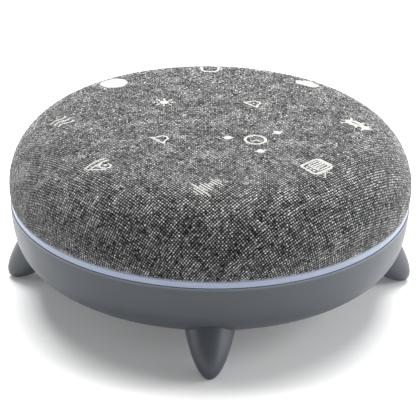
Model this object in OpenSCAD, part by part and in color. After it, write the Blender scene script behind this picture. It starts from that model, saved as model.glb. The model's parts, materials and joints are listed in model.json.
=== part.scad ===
// Round bedside speaker: cloth-covered dome, light ring, moulded base and four splayed legs.
// The driver faces up through the dome, and a passive radiator faces down through the base.
// Origin: centre of the footprint, on the surface it stands on. +Z is up and -Y is the front.

/* [Body] */
// Greatest radius of the body, over the cloth
body_r = 75; // [74.6:0.1:75.4]
// Height of the top of the crown
crown_z = 66.3; // [66.1:0.1:66.8]
// Height of the widest point
equator_z = 42.5; // [42.4:0.1:42.7]
// Radius of the rounded shoulder
shoulder_r = 22.5; // [22.2:0.1:22.6]
// Thickness of the cloth
cloth_t = 0.8; // [0.6:0.1:0.9]
// Wall of the dome shell
dome_wall = 2.2; // [1.9:0.1:2.4]

/* [Light ring] */
// Top of the light ring, where the cloth ends
ring_top_z = 37.9; // [37.7:0.1:38.1]
// Height of the part of the ring that shows
ring_h = 2.35; // [2.15:0.1:2.45]
// Outer radius of the light ring
ring_r = 74.5; // [74.3:0.1:74.6]
// Number of light-emitting diodes
led_count = 24; // [12:4:32]

/* [Base] */
// Outer radius at the base's upper edge
base_r = 74.8; // [74.6:0.1:75]
// Height of the underside above the surface
base_bottom_z = 12.9; // [12.8:0.1:13]
// Wall of the base
base_wall = 2.4; // [2.2:0.1:2.5]
// Radius of the slow curve of the side
side_curve_r = 50; // [49:1:52]
// Radius of the lower edge
edge_curve_r = 14; // [13.6:0.1:14.4]

/* [Legs] */
// Radius from the body's axis to the tip of a leg
leg_tip_r = 76.25; // [75.9:0.05:76.6]
// Angle between a leg and the ground
leg_angle = 47.4; // [46.6:0.2:48]
// Bluntness: twice the radius of the tip
leg_blunt = 5.04; // [4.8:0.04:5.2]

/* [Driver] */
// Outer radius of the driver's flange
flange_r = 32; // [31.8:0.1:32.4]
// Radius of the magnet
magnet_r = 19; // [18:0.5:20]
// Radius of the cone at its rim
cone_r = 22.3; // [22.2:0.1:22.4]

/* [Grille] */
// Pitch of the holes in the dome
hole_pitch = 5; // [4.6:0.2:6]
// Radius of one hole in the dome
hole_r = 1.4; // [1.1:0.1:1.5]
// Number of slots in the bottom grille
slot_count = 20; // [12:2:22]

/* [Hidden] */
$fn = 96;

// Colours
cloth_grey = [0.33, 0.33, 0.34];
base_grey = [0.37, 0.39, 0.42];
leg_grey = [0.30, 0.32, 0.35];
ring_lilac = [0.66, 0.69, 0.80];
shell_black = [0.10, 0.10, 0.11];
board_green = [0.08, 0.30, 0.16];
steel_grey = [0.62, 0.63, 0.65];
ferrite_black = [0.16, 0.16, 0.17];
copper = [0.75, 0.45, 0.25];
white_plastic = [0.88, 0.88, 0.86];
foam_black = [0.14, 0.14, 0.15];
paper_black = [0.18, 0.18, 0.19];
rubber_black = [0.08, 0.08, 0.09];

// Tessellation of large arcs and of small round parts
fine = 720;
small = 32;
// How far a cutter runs past the solid that it cuts
past = 1;
// Glue line between curved parts that lie on each other
glue = 0.1;
// Screw shanks and the holes they cut their thread in
screw_r = 1.45;
screw_hole_r = 1.5;
screw_clear_r = 1.7;

// Dome: a shoulder arc runs into a shallow crown arc at one tangent
shoulder_x = body_r - shoulder_r;
crown_h = crown_z - equator_z;
crown_r = (pow(shoulder_x, 2) + pow(crown_h, 2) - pow(shoulder_r, 2)) / (2 * (crown_h - shoulder_r));
tangent_a = asin(shoulder_x / (crown_r - shoulder_r));
film_d = cloth_t + glue + dome_wall + glue;
film_t = 0.4;
pad_d = film_d + film_t + glue;
pad_t = 0.2;
dome_rim_z = ring_top_z + cloth_t;
hem_r = 66;

// Base: the side arc runs into the lower edge's arc at one tangent
ring_bottom_z = ring_top_z - ring_h;
seam_h = 0.15;
base_top_z = ring_bottom_z - seam_h;
side_x = base_r - side_curve_r;
edge_z = base_bottom_z + edge_curve_r;
edge_a = asin((base_top_z - edge_z) / (side_curve_r - edge_curve_r));
edge_x = side_x + (side_curve_r - edge_curve_r) * cos(edge_a);
floor_z = base_bottom_z + base_wall;

// Legs: bodies of revolution about an inclined axis
leg_slim = 0.036;
leg_len = 27.6;
leg_steps = 16;
leg_tip_z = 0.635;
foot_h = 0.8;
foot_peg_r = 1.1;
leg_azimuths = [270, 0, 90, 180];
leg_boss_r = 5.5;
leg_boss_end = 23;
leg_hole_start = 5;
leg_screw_start = 8;
leg_head_h = 2;

// Screws between the base and the dome
post_x = 57.5;
post_azimuths = [for (k = [0:3]) 22.5 + 90 * k];
post_z = 29.5;
post_head_z = 19.5;
post_hole_top = 43;
base_post_r = 4;
dome_post_r = 3.5;
screw_head_r = 2.9;
screw_head_h = 1.9;

// Light-emitting diodes on their ring board
led_board_z = 31;
led_board_t = 1.2;
led_board_in = 62.5;
led_board_out = 71.4;
led_x = 70;
rib_count = 8;
rib_t = 2;
rib_in = 64;

// Touch marks: eight on a circle, four on a square, and their electrodes
mark_x = 54;
inner_mark = 17;
mark_azimuths = [for (k = [0:7]) 45 * k];
pad_r = 5;
film_in = 13;
film_web_in = 47;
film_out = 60;
film_spoke = 10;
grille_r = 36;
mic_azimuths = [157.5, 337.5];
mic_x = 52;
mic_hole_r = 0.6;

// Speaker box: a tub that stands on the base's floor
gasket_t = 1;
box_r = 40;
box_wall = 2;
box_bottom_z = floor_z + gasket_t;
baffle_z = 46;
baffle_t = 3;
baffle_hole_r = 26.5;
lug_z = 20;
lug_t = 2.5;
lug_x = 43.5;
lug_r = 3.6;
grommet_z = 31;
grommet_r = 3;

// Driver, stacked from its flange down
seal_t = 0.6;
flange_z = baffle_z + baffle_t + seal_t;
flange_t = 1.2;
flange_top = flange_z + flange_t;
flange_screw_x = 30;
plate_z = 35.1;
plate_t = 2.5;
magnet_h = 8;
yoke_t = 2.5;
magnet_z = plate_z - magnet_h;
yoke_z = magnet_z - yoke_t;
pole_r = 7;
gap_r = 8.3;
former_r = 7.6;
former_t = 0.25;
former_z = 32.5;
former_h = 11.1;
winding_t = 0.35;
winding_z = 34;
winding_h = 5;
basket_seat_z = plate_z + plate_t;
basket_seat_t = 1.2;
basket_low_r = 17.5;
basket_high_r = 24.6;
basket_wall = 1.2;
spider_z = 41.2;
spider_r = 17.6;
roll_t = 0.5;
surround_r = 1.9;
surround_x = 24;
skin_gap = 0.05;
cap_r = 9;
cap_sphere_r = 15;

// Passive radiator in the base's floor
grille_x = 27;
grille_t = 1.2;
radiator_hole_r = 25;
frame_t = 2.2;
frame_in = 25.3;
frame_out = 31;
radiator_top = floor_z + frame_t;
radiator_t = 1.2;
radiator_r = 21.2;
radiator_roll_x = 23.2;
weight_r = 9;
weight_h = 3;

// Main board, behind the speaker box
board_z = 22;
board_t = 1.6;
board_top = board_z + board_t;
board_left = -17;
board_right = 22;
board_y = 49;
board_r = 68.5;
board_posts = [[-13.6, 51.9], [19.2, 52.5], [-11, 64.5], [11, 64]];
board_post_r = 2.8;
plug_x = -14.3;
film_plug_z = 59.1;

// USB-C socket in the back wall, and the plug's recess round it
usb_w = 8.94;
usb_h = 3.26;
usb_wall = 0.3;
usb_depth = 7;
usb_mouth_y = 72.6;
usb_z = board_top + usb_h / 2;

// Power button beside the socket; it travels along its own radius
button_a = 74;
button_z = 25.9;
button_r = 2.9;
button_hole_r = 3.2;
button_face = 74.4;
button_flange_r = 4;
button_flange_t = 0.8;
button_back = 70;
stem_r = 1.5;
switch_face = 66.6;
plunger_r = 1.2;

// Routes of the wires
speaker_route = [[28, 44], [31, 43], [34, 38], [35.5, 33], [38, grommet_z], [42, grommet_z], [46, 29.5],
    [48.5, 27.8], [50.5, 26.4]];
led_route = [[64.2, 30.6], [63.9, 29], [61.8, 27.5], [59.2, 27.2], [57.9, 26.3]];
route_steps = 5;
tube_sides = 8;
wire_r = 0.6;
wire_gap = 1.3;

// ---------- shapes that repeat ----------

// Places its children on a circle at the given azimuths
module around(azimuths, x) {
    for (a = azimuths) rotate([0, 0, a]) translate([x, 0, 0]) children();
}

// Flat ring between two radii, from z0 to z1
module ring(r_in, r_out, z0, z1) {
    translate([0, 0, z0]) difference() {
        cylinder(r = r_out, h = z1 - z0);
        translate([0, 0, -past]) cylinder(r = r_in, h = z1 - z0 + 2 * past);
    }
}

// Half-round roll between two flat flanges, as rubber surrounds are made
module roll_profile(x, z, reach) {
    intersection() {
        translate([x, z]) difference() {
            circle(r = surround_r);
            circle(r = surround_r - roll_t);
        }
        translate([x - 2 * surround_r, z]) square([4 * surround_r, 2 * surround_r]);
    }
    translate([x - surround_r - reach, z]) square([reach + roll_t, roll_t]);
    translate([x + surround_r - roll_t, z]) square([reach + roll_t, roll_t]);
}

// Pan-head screw: its shank runs down from the underside of its head at z = 0
module screw(shank, head_r, head_h) {
    translate([0, 0, -shank]) cylinder(r = screw_r, h = shank, $fn = small);
    difference() {
        cylinder(r = head_r, h = head_h, $fn = small);
        for (a = [0, 90]) rotate([0, 0, a]) translate([-head_r * 0.6, -0.4, head_h * 0.5])
            cube([head_r * 1.2, 0.8, head_h]);
    }
}

// Slot with round ends, w by h, standing in the plane y = y0 and running back by depth
module slot_y(w, h, y0, depth, z) {
    translate([0, y0 + depth, z]) rotate([90, 0, 0]) linear_extrude(depth) {
        square([w - h, h], center = true);
        for (side = [-1, 1]) translate([side * (w - h) / 2, 0]) circle(d = h, $fn = small);
    }
}

// Points of a smooth curve through p
function between(a, b, c, d, u) = 0.5 * (2 * b + (c - a) * u
    + (2 * a - 5 * b + 4 * c - d) * pow(u, 2) + (3 * b - a - 3 * c + d) * pow(u, 3));
function curve(p) = concat([for (i = [0:len(p) - 2], k = [0:route_steps - 1])
    between(p[max(i - 1, 0)], p[i], p[i + 1], p[min(i + 2, len(p) - 1)], k / route_steps)],
    [p[len(p) - 1]]);
function unit(v) = v / norm(v);

// Round wire swept along a curve that never runs along X
module wire(p, r) {
    last = len(p) - 1;
    rings = [for (i = [0:last])
        let (t = unit(p[min(i + 1, last)] - p[max(i - 1, 0)]), n = unit(cross(t, [1, 0, 0])), b = cross(t, n))
        [for (j = [0:tube_sides - 1]) p[i] + r * (cos(360 * j / tube_sides) * n + sin(360 * j / tube_sides) * b)]];
    sides = [for (i = [0:last - 1], j = [0:tube_sides - 1])
        let (k = (j + 1) % tube_sides)
        [i * tube_sides + j, (i + 1) * tube_sides + j, (i + 1) * tube_sides + k, i * tube_sides + k]];
    ends = [[for (j = [0:tube_sides - 1]) j], [for (j = [tube_sides - 1:-1:0]) last * tube_sides + j]];
    polyhedron(points = [for (one = rings, q = one) q], faces = concat(sides, ends));
}

// ---------- dome ----------

// Half section inside the cloth's surface by d, from height low up
module dome_area(d, low) {
    intersection() {
        translate([0, crown_z - crown_r]) circle(r = crown_r - d, $fn = fine);
        translate([0, low]) square([(crown_r - d) * sin(tangent_a), crown_z]);
    }
    intersection() {
        translate([shoulder_x, equator_z]) circle(r = shoulder_r - d);
        translate([0, low]) square([body_r, crown_z]);
    }
}

// Shell between two depths below the cloth's surface
module dome_layer(d0, d1, low) {
    rotate_extrude() difference() {
        dome_area(d0, low);
        dome_area(d1, low - past);
    }
}

module fabric_cover() {
    color(cloth_grey) rotate_extrude() difference() {
        dome_area(0, ring_top_z);
        dome_area(cloth_t, dome_rim_z);
        translate([0, ring_top_z - past]) square([hem_r, cloth_t + 2 * past]);
    }
}

// Centres of the holes: a hexagonal grid, kept off the inner electrodes
function grille_grid(reach) = [for (i = [-reach:reach], j = [-reach:reach])
    let (at = [hole_pitch * (i + 0.5 * (j % 2)), hole_pitch * sqrt(3) / 2 * j])
    if (norm(at) < grille_r && norm([abs(at[0]) - inner_mark, abs(at[1]) - inner_mark]) > pad_r + hole_r) at];

module dome_shell() {
    color(shell_black) difference() {
        union() {
            dome_layer(cloth_t + glue, cloth_t + glue + dome_wall, dome_rim_z + glue);
            intersection() {
                around(post_azimuths, post_x) translate([0, 0, post_z])
                    cylinder(r = dome_post_r, h = crown_z, $fn = small);
                rotate_extrude() dome_area(cloth_t + glue + dome_wall / 2, post_z - past);
            }
        }
        around(post_azimuths, post_x) translate([0, 0, post_z - past])
            cylinder(r = screw_hole_r, h = post_hole_top - post_z + past, $fn = small);
        around(mic_azimuths, mic_x) translate([0, 0, equator_z]) cylinder(r = mic_hole_r, h = crown_z, $fn = small);
        for (at = grille_grid(10)) translate([at[0], at[1], equator_z])
            cylinder(r = hole_r, h = crown_z, $fn = small);
    }
}

module dome_screws() {
    color(steel_grey) around(post_azimuths, post_x) translate([0, 0, post_head_z]) rotate([180, 0, 0])
        screw(post_hole_top - post_head_z - 2, screw_head_r, screw_head_h);
}

// ---------- touch film ----------

// Outline of the film: a ring with four spokes for the inner marks
module film_web() {
    difference() {
        union() {
            difference() {
                circle(r = film_out);
                circle(r = film_web_in);
            }
            for (a = [45, 135]) rotate(a) square([2 * film_web_in + 2, film_spoke], center = true);
        }
        circle(r = film_in);
        for (a = post_azimuths) rotate(a) translate([post_x, 0]) circle(r = dome_post_r + 0.5, $fn = small);
        for (a = mic_azimuths) rotate(a) translate([mic_x, 0]) circle(r = mic_hole_r, $fn = small);
    }
}

module touch_film() {
    color([0.75, 0.48, 0.18]) intersection() {
        dome_layer(film_d, film_d + film_t, equator_z);
        translate([0, 0, equator_z]) linear_extrude(crown_z) film_web();
    }
}

module touch_electrodes() {
    color(copper) intersection() {
        dome_layer(pad_d, pad_d + pad_t, equator_z);
        translate([0, 0, equator_z]) union() {
            around(mark_azimuths, mark_x) cylinder(r = pad_r, h = crown_z, $fn = small);
            around([45, 135, 225, 315], inner_mark * sqrt(2)) cylinder(r = pad_r - 0.5, h = crown_z, $fn = small);
        }
    }
}

module touch_controller() {
    color(shell_black) rotate([0, 0, 247.5]) translate([52, 0, 60.6]) cube([5, 5, 0.9], center = true);
}

module film_connector() {
    color(white_plastic) translate([7.5, 51, film_plug_z]) cube([9, 5, 1.2]);
}

module microphones() {
    color(steel_grey) around(mic_azimuths, mic_x) translate([0, 0, 60.6]) cube([3, 4, 1.1], center = true);
}

// Flat cable from the film down to the main board
module sensor_ribbon() {
    ribbon_t = 0.3;
    bend_r = 3;
    ribbon_y = 54;
    low_z = 25.2;
    color(white_plastic) translate([8.5, 0, 0]) rotate([90, 0, 90]) linear_extrude(7) {
        translate([ribbon_y, low_z + bend_r]) square([ribbon_t, film_plug_z - low_z - bend_r]);
        intersection() {
            translate([ribbon_y + ribbon_t - bend_r, low_z + bend_r]) difference() {
                circle(r = bend_r);
                circle(r = bend_r - ribbon_t);
            }
            translate([ribbon_y + ribbon_t - bend_r, low_z]) square(bend_r);
        }
    }
}

// ---------- light ring ----------

module light_ring() {
    bevel = 0.3;
    foot_bevel = 0.1;
    inner = 69;
    color(ring_lilac) rotate_extrude() union() {
        polygon([[inner, ring_bottom_z], [ring_r - foot_bevel, ring_bottom_z], [ring_r, ring_bottom_z + foot_bevel],
            [ring_r, ring_top_z - bevel], [ring_r - bevel, ring_top_z], [inner, ring_top_z]]);
        translate([inner, ring_bottom_z - 1.5]) square([2.6, 1.5 + bevel]);
    }
}

module led_board() {
    color(board_green) ring(led_board_in, led_board_out, led_board_z, led_board_z + led_board_t);
}

module leds() {
    color(white_plastic) around([for (k = [0:led_count - 1]) 360 * (k + 0.5) / led_count], led_x)
        translate([-1.2, -1.4, led_board_z + led_board_t]) cube([2.4, 2.8, 1.2]);
}

module led_wires() {
    color([0.7, 0.12, 0.1]) for (k = [-1:1])
        wire(curve([for (p = led_route) [plug_x + k * wire_gap, p[0], p[1]]]), wire_r);
}

// ---------- base ----------

// Half section of the base, inside its outer surface by d
module base_area(d, low, high) {
    meet = [side_x + (side_curve_r - d) * cos(edge_a), base_top_z - (side_curve_r - d) * sin(edge_a)];
    intersection() {
        union() {
            translate([edge_x, edge_z]) circle(r = edge_curve_r - d);
            intersection() {
                translate([side_x, base_top_z]) circle(r = side_curve_r - d, $fn = 4 * $fn);
                translate([0, meet[1]]) square([base_r, high]);
            }
            polygon([[0, low], [edge_x, low], meet, [base_r - d, base_top_z], [base_r - d, high], [0, high]]);
        }
        translate([0, low]) square([base_r + past, high - low]);
    }
}

// Whole outer form of the base, grown by a little to cut the legs
module base_form(grow) {
    rotate_extrude() base_area(-grow, base_bottom_z - grow, base_top_z);
}

module base_holes() {
    // Passive radiator and its grille
    translate([0, 0, base_bottom_z - past]) cylinder(r = radiator_hole_r, h = base_wall + 2 * past);
    translate([0, 0, base_bottom_z - past]) cylinder(r = grille_x, h = grille_t + past);
    // Screws up into the dome
    around(post_azimuths, post_x) {
        translate([0, 0, base_bottom_z - past]) cylinder(r = screw_clear_r, h = crown_z, $fn = small);
        translate([0, 0, base_bottom_z - past])
            cylinder(r = screw_head_r + 0.3, h = post_head_z - base_bottom_z + past, $fn = small);
    }
    // Screws out into the legs
    along_legs() translate([0, 0, leg_screw_start]) cylinder(r = screw_clear_r, h = leg_len, $fn = small);
    // Screws down into the floor's bosses
    around([45, 135, 225, 315], lug_x) translate([0, 0, floor_z - 1]) cylinder(r = screw_hole_r, h = lug_z, $fn = small);
    for (at = board_posts) translate([at[0], at[1], floor_z]) cylinder(r = screw_hole_r, h = board_z, $fn = small);
    // Socket, plug recess and button
    slot_y(usb_w + 0.7, usb_h + 0.7, 60, 20, usb_z);
    slot_y(12.6, 6.9, usb_mouth_y, 5, usb_z);
    along_button(button_back) cylinder(r = button_hole_r, h = 10, $fn = small);
    along_button(switch_face)
        cylinder(r = button_flange_r + 0.3, h = button_back + button_flange_t + skin_gap - switch_face, $fn = small);
}

module base_housing() {
    color(base_grey) difference() {
        union() {
            rotate_extrude() difference() {
                base_area(0, base_bottom_z, base_top_z);
                base_area(base_wall, floor_z, base_top_z + past);
            }
            ring(base_r - base_wall - 0.1, base_r - 1.3, base_top_z - 1.2, ring_bottom_z);
            around(post_azimuths, post_x) translate([0, 0, floor_z - past])
                cylinder(r = base_post_r, h = post_z - floor_z + past, $fn = small);
            around([45, 135, 225, 315], lug_x) translate([0, 0, floor_z - past])
                cylinder(r = lug_r - 0.4, h = lug_z - floor_z + past, $fn = small);
            intersection() {
                union() {
                    along_legs() translate([0, 0, leg_hole_start])
                        cylinder(r = leg_boss_r, h = leg_boss_end - leg_hole_start, $fn = small);
                    around([for (k = [0:rib_count - 1]) 22.5 + 360 * k / rib_count], rib_in)
                        translate([0, -rib_t / 2, 0]) cube([12, rib_t, led_board_z]);
                    for (at = board_posts) translate([at[0], at[1], 0])
                        cylinder(r = board_post_r, h = board_z, $fn = small);
                }
                rotate_extrude() base_area(base_wall / 2, base_bottom_z + base_wall / 2, base_top_z);
            }
        }
        base_holes();
    }
}

module bottom_grille() {
    slot_w = 2.6;
    color(base_grey) difference() {
        translate([0, 0, base_bottom_z]) cylinder(r = grille_x - 0.15, h = grille_t);
        around([for (k = [0:slot_count - 1]) 360 * k / slot_count], 0) {
            translate([10, -slot_w / 2, 0]) cube([12.5, slot_w, floor_z]);
            for (x = [10, 22.5]) translate([x, 0, 0]) cylinder(d = slot_w, h = floor_z, $fn = small);
        }
        cylinder(r = 1.8, h = floor_z, $fn = small);
        around([for (k = [0:5]) 60 * k], 4.6) cylinder(r = 1.3, h = floor_z, $fn = small);
    }
}

// ---------- legs ----------

// Places its children with +Z running up a leg's axis from the leg's tip
module along_leg(azimuth) {
    rotate([0, 0, azimuth]) translate([leg_tip_r, 0, leg_tip_z]) rotate([0, leg_angle - 90, 0]) children();
}

module along_legs() {
    for (a = leg_azimuths) along_leg(a) children();
}

function leg_radius(s) = sqrt(leg_blunt * s - leg_slim * pow(s, 2));

module leg_form(azimuth) {
    along_leg(azimuth) rotate_extrude() polygon(concat(
        [for (i = [0:leg_steps]) let (s = leg_len * pow(i / leg_steps, 2)) [leg_radius(s), s]],
        [[0, leg_len]]));
}

module leg(azimuth) {
    color(leg_grey) difference() {
        leg_form(azimuth);
        base_form(glue / 2);
        translate([-2 * body_r, -2 * body_r, foot_h - 10]) cube([4 * body_r, 4 * body_r, 10]);
        rotate([0, 0, azimuth]) translate([foot_x(), 0, 0]) cylinder(r = foot_peg_r + glue, h = foot_h + 2, $fn = small);
        along_leg(azimuth) translate([0, 0, leg_hole_start]) cylinder(r = screw_hole_r, h = leg_len, $fn = small);
    }
}

// Radius at which a leg comes closest to the ground
function foot_x() = leg_tip_r - 2.4;

module leg_front() { leg(leg_azimuths[0]); }
module leg_right() { leg(leg_azimuths[1]); }
module leg_back() { leg(leg_azimuths[2]); }
module leg_left() { leg(leg_azimuths[3]); }

// Rubber tips that finish the legs' shape, each with a peg
module foot_pads() {
    color(rubber_black) for (a = leg_azimuths) {
        intersection() {
            leg_form(a);
            rotate([0, 0, a]) translate([foot_x() - 5, -5, 0]) cube([10, 10, foot_h]);
        }
        rotate([0, 0, a]) translate([foot_x(), 0, foot_h / 2])
            cylinder(r = foot_peg_r, h = foot_h / 2 + 1.5, $fn = small);
    }
}

module leg_screws() {
    color(steel_grey) along_legs() translate([0, 0, leg_boss_end])
        screw(leg_boss_end - leg_screw_start, screw_head_r - 0.1, leg_head_h);
}

// ---------- speaker box ----------

module box_gasket() {
    color(foam_black) ring(box_r - box_wall, box_r, floor_z, box_bottom_z);
}

module speaker_box() {
    color(shell_black) difference() {
        union() {
            ring(box_r - box_wall, box_r, box_bottom_z, baffle_z);
            difference() {
                around([45, 135, 225, 315], lug_x) translate([0, 0, lug_z]) {
                    cylinder(r = lug_r, h = lug_t, $fn = small);
                    translate([-lug_r - 1, -lug_r, 0]) cube([lug_r + 1, 2 * lug_r, lug_t]);
                }
                cylinder(r = box_r - box_wall / 2, h = crown_z);
            }
        }
        around([45, 135, 225, 315], lug_x) cylinder(r = screw_clear_r, h = crown_z, $fn = small);
        translate([0, box_r - 2 * box_wall, grommet_z]) rotate([-90, 0, 0])
            cylinder(r = grommet_r, h = 4 * box_wall, $fn = small);
    }
}

module box_screws() {
    color(steel_grey) around([45, 135, 225, 315], lug_x) translate([0, 0, lug_z + lug_t])
        screw(lug_z + lug_t - floor_z, 2.6, 1.6);
}

module speaker_baffle() {
    color(shell_black) difference() {
        ring(baffle_hole_r, box_r, baffle_z, baffle_z + baffle_t);
        around([45, 135, 225, 315], flange_screw_x) cylinder(r = screw_hole_r, h = crown_z, $fn = small);
    }
}

module wire_grommet() {
    color(rubber_black) difference() {
        translate([0, 0, grommet_z]) rotate([-90, 0, 0]) rotate_extrude() polygon([[0, box_r - 3],
            [grommet_r + 1, box_r - 3], [grommet_r + 1, box_r - 2.4], [grommet_r - glue, box_r - 2.4],
            [grommet_r - glue, box_r + 0.2], [grommet_r + 1, box_r + 0.2], [grommet_r + 1, box_r + 1], [0, box_r + 1]]);
        for (side = [-1, 1]) translate([side * wire_gap, box_r - 5, grommet_z]) rotate([-90, 0, 0])
            cylinder(r = wire_r + 0.35, h = 10, $fn = small);
    }
}

module speaker_wires() {
    color([0.65, 0.1, 0.1]) for (side = [-1, 1])
        wire(curve([for (p = speaker_route) [side * wire_gap, p[0], p[1]]]), wire_r);
}

// ---------- driver ----------

module driver_gasket() {
    color(foam_black) difference() {
        ring(baffle_hole_r + 0.2, flange_r, flange_z - seal_t, flange_z);
        around([45, 135, 225, 315], flange_screw_x) cylinder(r = screw_clear_r, h = crown_z, $fn = small);
    }
}

module driver_basket() {
    color(steel_grey) difference() {
        union() {
            rotate_extrude() polygon([[gap_r + 1.2, basket_seat_z], [basket_low_r + basket_wall, basket_seat_z],
                [basket_low_r + basket_wall, basket_seat_z + basket_seat_t], [basket_high_r + basket_wall, flange_z],
                [flange_r, flange_z], [flange_r, flange_top], [basket_high_r, flange_top],
                [basket_high_r, flange_z], [basket_low_r, basket_seat_z + basket_seat_t],
                [gap_r + 1.2, basket_seat_z + basket_seat_t]]);
            ring(spider_r - 1.3, spider_r + 1.9, spider_z - 1, spider_z);
        }
        around([0, 90, 180, 270], 0) translate([basket_low_r - 1, -6.5, spider_z + 1.4]) cube([8, 13, 5.4]);
        around([45, 135, 225, 315], flange_screw_x) cylinder(r = screw_clear_r, h = crown_z, $fn = small);
    }
}

module driver_screws() {
    color(steel_grey) around([45, 135, 225, 315], flange_screw_x) translate([0, 0, flange_top])
        screw(4.4, 1.9 + screw_r / 10, 1.3);
}

module driver_terminal() {
    color(board_green) translate([-4, basket_high_r + 0.6, 43]) cube([8, 1, 4]);
    color(copper) for (side = [-1, 1]) translate([side * wire_gap - 0.9, basket_high_r + 1.6, 43.2]) cube([1.8, 1.1, 1.8]);
}

module top_plate() {
    color(steel_grey) ring(gap_r, magnet_r - 0.5, plate_z, plate_z + plate_t);
}

module magnet() {
    color(ferrite_black) ring(10, magnet_r, magnet_z, plate_z);
}

module yoke() {
    color(steel_grey) {
        translate([0, 0, yoke_z]) cylinder(r = magnet_r - 1, h = yoke_t);
        translate([0, 0, yoke_z]) cylinder(r = pole_r, h = plate_z + plate_t - yoke_z);
    }
}

module coil_former() {
    color([0.7, 0.5, 0.3]) ring(former_r - former_t, former_r, former_z, former_z + former_h);
}

module coil_winding() {
    color(copper) ring(former_r, former_r + winding_t, winding_z, winding_z + winding_h);
}

// Corrugated disc that centres the coil
module spider() {
    waves = 4;
    wave = (spider_r - 1.2 - former_r - 0.5) / waves;
    color([0.75, 0.6, 0.35]) rotate_extrude() {
        translate([former_r + glue, spider_z]) square([0.5, 0.4]);
        translate([spider_r - 1.2, spider_z]) square([1.2, 0.4]);
        for (k = [0:waves - 1]) translate([former_r + 0.5 + wave * k, spider_z])
            polygon([[0, 0], [wave / 2, 0.8], [wave, 0], [wave, 0.4], [wave / 2, 1.2], [0, 0.4]]);
    }
}

module cone() {
    neck_z = 43.1;
    paper_t = 0.6;
    color(paper_black) rotate_extrude() polygon([[former_r + glue, neck_z], [former_r + 0.7, neck_z],
        [cone_r - 1.4, flange_top - paper_t], [cone_r, flange_top - paper_t], [cone_r, flange_top],
        [cone_r - 1.6, flange_top], [former_r + glue, neck_z + 1]]);
}

module dust_cap() {
    cap_z = 45;
    color(paper_black) rotate_extrude() intersection() {
        translate([0, cap_z - sqrt(pow(cap_sphere_r, 2) - pow(cap_r, 2))]) difference() {
            circle(r = cap_sphere_r);
            circle(r = cap_sphere_r - roll_t);
        }
        translate([0, cap_z]) square([cap_r + past, cap_r]);
    }
}

module surround() {
    color(rubber_black) rotate_extrude() roll_profile(surround_x, flange_top + skin_gap, 1.6);
}

module foam_sleeve() {
    color(foam_black) ring(surround_x + surround_r, surround_x + surround_r + 1.9,
        flange_top + roll_t + 2 * skin_gap, 61.7);
}

// ---------- passive radiator ----------

module radiator_frame() {
    color(shell_black) ring(frame_in, frame_out, floor_z, radiator_top);
}

module radiator_surround() {
    color(rubber_black) rotate_extrude() roll_profile(radiator_roll_x, radiator_top + skin_gap, 1.9);
}

module radiator_plate() {
    color(shell_black) translate([0, 0, radiator_top - radiator_t]) difference() {
        cylinder(r = radiator_r, h = radiator_t);
        ring(11, 17, -past, 0.3);
    }
}

module radiator_weight() {
    color(steel_grey) ring(1.5, weight_r, radiator_top, radiator_top + weight_h);
}

// ---------- main board ----------

module main_board() {
    color(board_green) difference() {
        translate([0, 0, board_z]) linear_extrude(board_t) intersection() {
            translate([board_left, board_y]) square([board_right - board_left, 30]);
            circle(r = board_r);
        }
        for (at = board_posts) translate(at) cylinder(r = screw_clear_r, h = crown_z, $fn = small);
    }
}

module board_screws() {
    color(steel_grey) for (at = board_posts) translate([at[0], at[1], board_top])
        screw(board_top - floor_z - 0.5, 2.4, 1.4);
}

module radio_module() {
    color(board_green) translate([-11.6, 54.8, board_top]) cube([13, 7, 0.8]);
    color(steel_grey) translate([-11.2, 55.2, board_top + 0.8]) cube([10, 6.2, 1.6]);
}

module amplifier() {
    color(shell_black) translate([2, 54, board_top]) cube([5, 5, 1]);
}

module capacitors() {
    color(steel_grey) for (at = [[-6.2, 51.8], [10.2, 57.3]]) translate([at[0], at[1], board_top])
        cylinder(r = 2.4, h = 6, $fn = small);
}

module inductor() {
    color(ferrite_black) translate([2.2, 60.5, board_top]) cube([5, 4, 2.6]);
}

// Headers for the driver, the touch film and the light ring
module board_connectors() {
    color(white_plastic) {
        translate([-3, 50.2, board_top]) cube([6, 3.4, 1.9]);
        translate([8, 50.4, board_top]) difference() {
            cube([8, 3.6, 1.8]);
            translate([0.3, 0.6, 1.4]) cube([7.4, past + 3, past]);
        }
        translate([plug_x - 2.3, 56, board_top]) cube([4.6, 3.6, 2]);
    }
}

module usb_socket() {
    color(steel_grey) difference() {
        slot_y(usb_w, usb_h, usb_mouth_y - usb_depth, usb_depth, usb_z);
        slot_y(usb_w - 2 * usb_wall, usb_h - 2 * usb_wall, usb_mouth_y - usb_depth + 0.8, usb_depth, usb_z);
    }
}

module usb_tongue() {
    color(shell_black) translate([-3.35, usb_mouth_y - usb_depth + 0.8, usb_z - 0.35])
        cube([6.7, usb_depth - 1.6, 0.7]);
}

// Places its children with +Z running out along the button's radius
module along_button(x) {
    rotate([0, 0, button_a]) translate([x, 0, button_z]) rotate([0, 90, 0]) children();
}

module power_button() {
    color(leg_grey) along_button(0) rotate_extrude() polygon([[0, switch_face + 0.9], [stem_r, switch_face + 0.9],
        [stem_r, button_back], [button_flange_r, button_back], [button_flange_r, button_back + button_flange_t],
        [button_r, button_back + button_flange_t], [button_r, button_face - 0.4], [button_r - 0.4, button_face],
        [0, button_face]]);
}

module button_switch() {
    color(shell_black) difference() {
        rotate([0, 0, button_a]) translate([switch_face - 3.6, -3, board_top]) cube([3.6, 6, 4.3]);
        along_button(switch_face - 1.8) cylinder(r = plunger_r + 0.3, h = 5, $fn = small);
    }
}

module switch_plunger() {
    color(white_plastic) along_button(switch_face - 1.2) cylinder(r = plunger_r, h = 2.1, $fn = small);
}

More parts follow.
